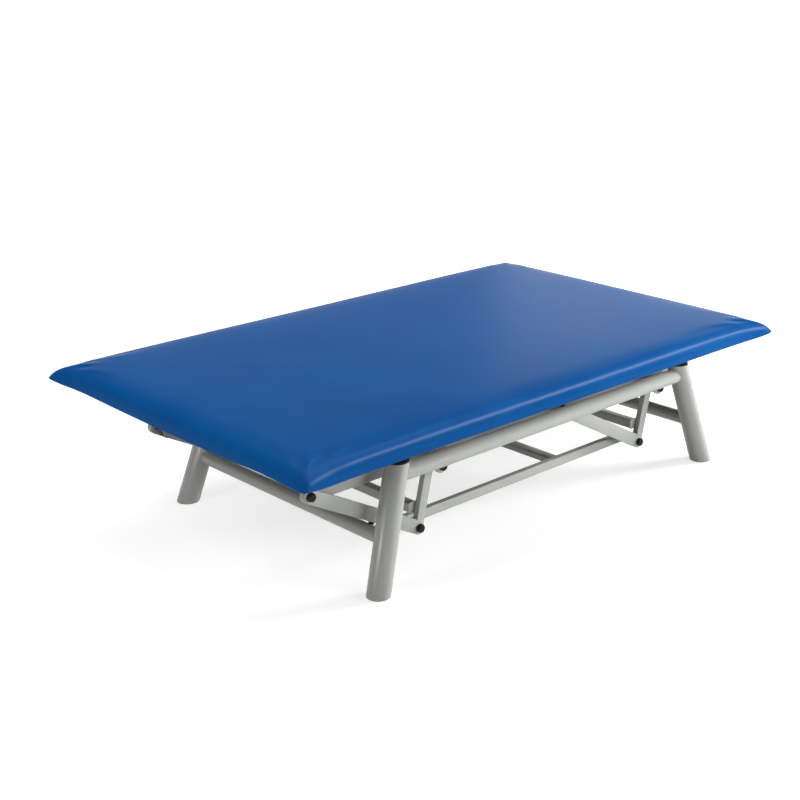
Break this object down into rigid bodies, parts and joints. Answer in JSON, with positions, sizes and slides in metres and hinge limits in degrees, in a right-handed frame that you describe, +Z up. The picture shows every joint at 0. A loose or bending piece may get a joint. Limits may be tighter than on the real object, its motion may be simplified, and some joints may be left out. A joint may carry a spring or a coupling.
{
  "type": "bobath table",
  "caption": "Wide, low therapy table: a vinyl mattress on a steel frame that swings level up and down on a parallelogram of cranks, between splayed tubular legs, pushed by a linear actuator.",
  "frame": {"origin": "on the floor under the middle of the lowered mattress", "axes": "+X along the length towards the end with the actuator, +Y across to the far long side, +Z up"},
  "size_m": [2, 1.2, 0.5119],
  "materials": {
    "grey_paint": "satin",
    "black_plastic": "satin",
    "black_rubber": "matte",
    "black_bolt": "satin",
    "zinc_steel": "satin",
    "blue_vinyl": "satin",
    "birch_plywood": "matte",
    "aluminium": "satin"
  },
  "bodies": {
    "base": {"leg_near_left": "grey_paint", "leg_near_right": "grey_paint", "leg_far_left": "grey_paint", "leg_far_right": "grey_paint", "leg_cap_near_left": "black_plastic", "leg_cap_near_right": "black_plastic", "leg_cap_far_left": "black_plastic", "leg_cap_far_right": "black_plastic", "side_rail_near": "grey_paint", "side_rail_far": "grey_paint", "end_crossbar_left": "grey_paint", "end_crossbar_right": "grey_paint", "hinge_lug_near_left": "grey_paint", "hinge_lug_near_right": "grey_paint", "hinge_lug_far_left": "grey_paint", "hinge_lug_far_right": "grey_paint", "hinge_bolt_near_left": "black_bolt", "hinge_bolt_near_right": "black_bolt", "hinge_bolt_far_left": "black_bolt", "hinge_bolt_far_right": "black_bolt", "actuator_bracket": "grey_paint", "bracket_pin": "zinc_steel"},
    "crank_left": {"crank_arm_near_left": "grey_paint", "crank_arm_far_left": "grey_paint", "crank_strut_near_left": "grey_paint", "crank_strut_far_left": "grey_paint", "heel_bolt_near_left": "black_bolt", "heel_bolt_far_left": "black_bolt", "torsion_bar_left": "grey_paint", "stop_buffer_near": "black_rubber", "stop_buffer_far": "black_rubber"},
    "crank_right": {"crank_arm_near_right": "grey_paint", "crank_arm_far_right": "grey_paint", "crank_strut_near_right": "grey_paint", "crank_strut_far_right": "grey_paint", "heel_bolt_near_right": "black_bolt", "heel_bolt_far_right": "black_bolt", "torsion_bar_right": "grey_paint"},
    "tie_frame": {"tie_bar_near": "grey_paint", "tie_bar_far": "grey_paint", "tie_crossbar": "grey_paint", "actuator_clevis": "grey_paint", "clevis_pin": "zinc_steel"},
    "table_top": {"top_rail_near": "grey_paint", "top_rail_far": "grey_paint", "top_cross_member": "grey_paint", "bearer_1": "grey_paint", "bearer_2": "grey_paint", "bearer_3": "grey_paint", "bearer_4": "grey_paint", "board": "birch_plywood", "mattress": "blue_vinyl", "head_bolt_near_left": "black_bolt", "head_bolt_near_right": "black_bolt", "head_bolt_far_left": "black_bolt", "head_bolt_far_right": "black_bolt"},
    "actuator": {"actuator_gearbox": "black_plastic", "actuator_motor": "black_plastic", "actuator_tube": "aluminium"},
    "push_rod": {"push_rod": "zinc_steel"}
  },
  "joints": [
    {"name": "lift", "type": "hinge", "parent": "base", "child": "crank_left", "pos_m": [-0.325, 0, 0.284], "axis": [0, 1, 0], "range_deg": [0, 60]},
    {"name": "right_crank_turn", "type": "hinge", "parent": "base", "child": "crank_right", "pos_m": [0.695, 0, 0.284], "axis": [0, 1, 0], "range_deg": [0, 60]},
    {"name": "tie_pivot", "type": "hinge", "parent": "crank_left", "child": "tie_frame", "pos_m": [-0.396, 0, 0.105], "axis": [0, 1, 0], "range_deg": [-60, 0]},
    {"name": "head_pivot", "type": "hinge", "parent": "crank_left", "child": "table_top", "pos_m": [-0.799, 0, 0.32], "axis": [0, 1, 0], "range_deg": [-60, 0]},
    {"name": "actuator_swing", "type": "hinge", "parent": "base", "child": "actuator", "pos_m": [0.785, 0, 0.105], "axis": [0, 1, 0], "range_deg": [0, 15]},
    {"name": "rod_slide", "type": "slide", "parent": "actuator", "child": "push_rod", "axis": [-0.9999, 0, -0.0117], "range_m": [0, 0.148]}
  ],
  "couplings": [
    {"joint": "right_crank_turn", "follows": "lift", "ratio": 1},
    {"joint": "tie_pivot", "follows": "lift", "ratio": -1},
    {"joint": "head_pivot", "follows": "lift", "ratio": -1},
    {"joint": "actuator_swing", "follows": "lift", "ratio": 0.2477},
    {"joint": "rod_slide", "follows": "lift", "m_per_rad": 0.1411}
  ]
}
